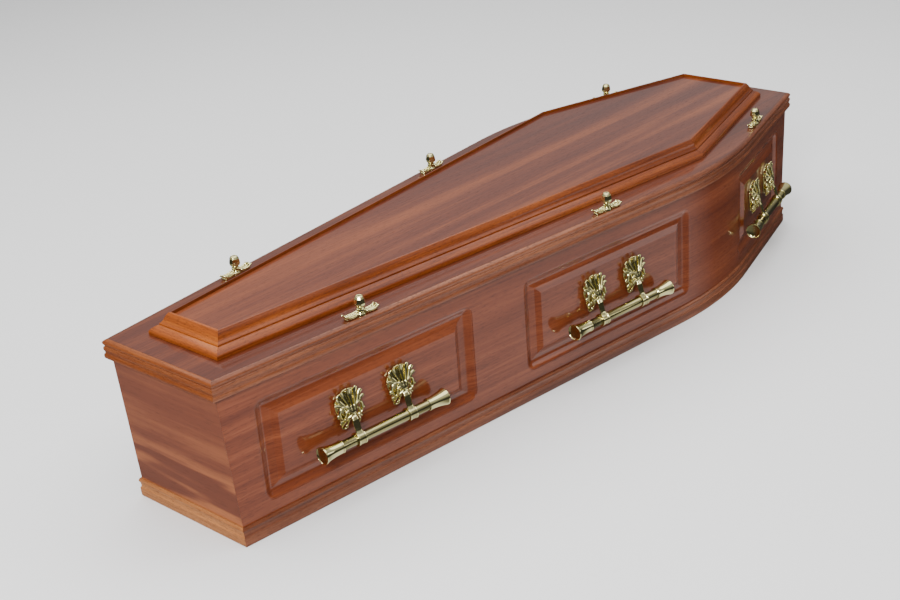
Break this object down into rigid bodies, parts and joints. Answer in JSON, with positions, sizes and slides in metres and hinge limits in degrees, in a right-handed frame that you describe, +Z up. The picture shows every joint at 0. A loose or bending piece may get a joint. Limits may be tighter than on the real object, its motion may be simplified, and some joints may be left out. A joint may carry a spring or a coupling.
{
  "type": "wooden coffin",
  "caption": "Shouldered wooden coffin with a raised panelled lid, routed side panels, bar handles on leaf plates, and lid screws; the lid lifts off.",
  "frame": {"origin": "middle of the underside, where the coffin stands", "axes": "+Z up, +X towards the head end, -Y the left-hand side of the person inside"},
  "size_m": [1.95, 0.6562, 0.3936],
  "materials": {
    "side_wood": "reddish brown mahogany-type veneer under high-gloss lacquer",
    "lid_wood": "ribbon-striped mahogany-type veneer under high-gloss lacquer",
    "moulding_wood": "solid mahogany-type moulding under gloss lacquer",
    "inner_wood": "plain unlacquered board",
    "brass": "polished pale brass plating"
  },
  "bodies": {
    "root": {"base_board": "inner_wood", "side_left": "side_wood", "side_right": "side_wood", "foot_end": "side_wood", "head_end": "side_wood", "plinth_left": "moulding_wood", "plinth_right": "moulding_wood", "plinth_foot": "moulding_wood", "plinth_head": "moulding_wood", "lid_board": "lid_wood", "lid_rim_left": "moulding_wood", "lid_rim_right": "moulding_wood", "lid_rim_foot": "moulding_wood", "lid_rim_head": "moulding_wood", "lid_frame_left_long": "moulding_wood", "lid_frame_right_long": "moulding_wood", "lid_frame_left_short": "moulding_wood", "lid_frame_right_short": "moulding_wood", "lid_frame_foot": "moulding_wood", "lid_frame_head": "moulding_wood", "lid_panel": "lid_wood", "handle_left_foot_bar": "brass", "handle_left_foot_plate_a": "brass", "handle_left_foot_plate_b": "brass", "handle_left_middle_bar": "brass", "handle_left_middle_plate_a": "brass", "handle_left_middle_plate_b": "brass", "handle_left_head_bar": "brass", "handle_left_head_plate_a": "brass", "handle_left_head_plate_b": "brass", "handle_right_foot_bar": "brass", "handle_right_foot_plate_a": "brass", "handle_right_foot_plate_b": "brass", "handle_right_middle_bar": "brass", "handle_right_middle_plate_a": "brass", "handle_right_middle_plate_b": "brass", "handle_right_head_bar": "brass", "handle_right_head_plate_a": "brass", "handle_right_head_plate_b": "brass", "lid_screw_left_foot_base": "brass", "lid_screw_left_foot_knob": "brass", "lid_screw_left_middle_base": "brass", "lid_screw_left_middle_knob": "brass", "lid_screw_left_head_base": "brass", "lid_screw_left_head_knob": "brass", "lid_screw_right_foot_base": "brass", "lid_screw_right_foot_knob": "brass", "lid_screw_right_middle_base": "brass", "lid_screw_right_middle_knob": "brass", "lid_screw_right_head_base": "brass", "lid_screw_right_head_knob": "brass"}
  },
  "joints": []
}
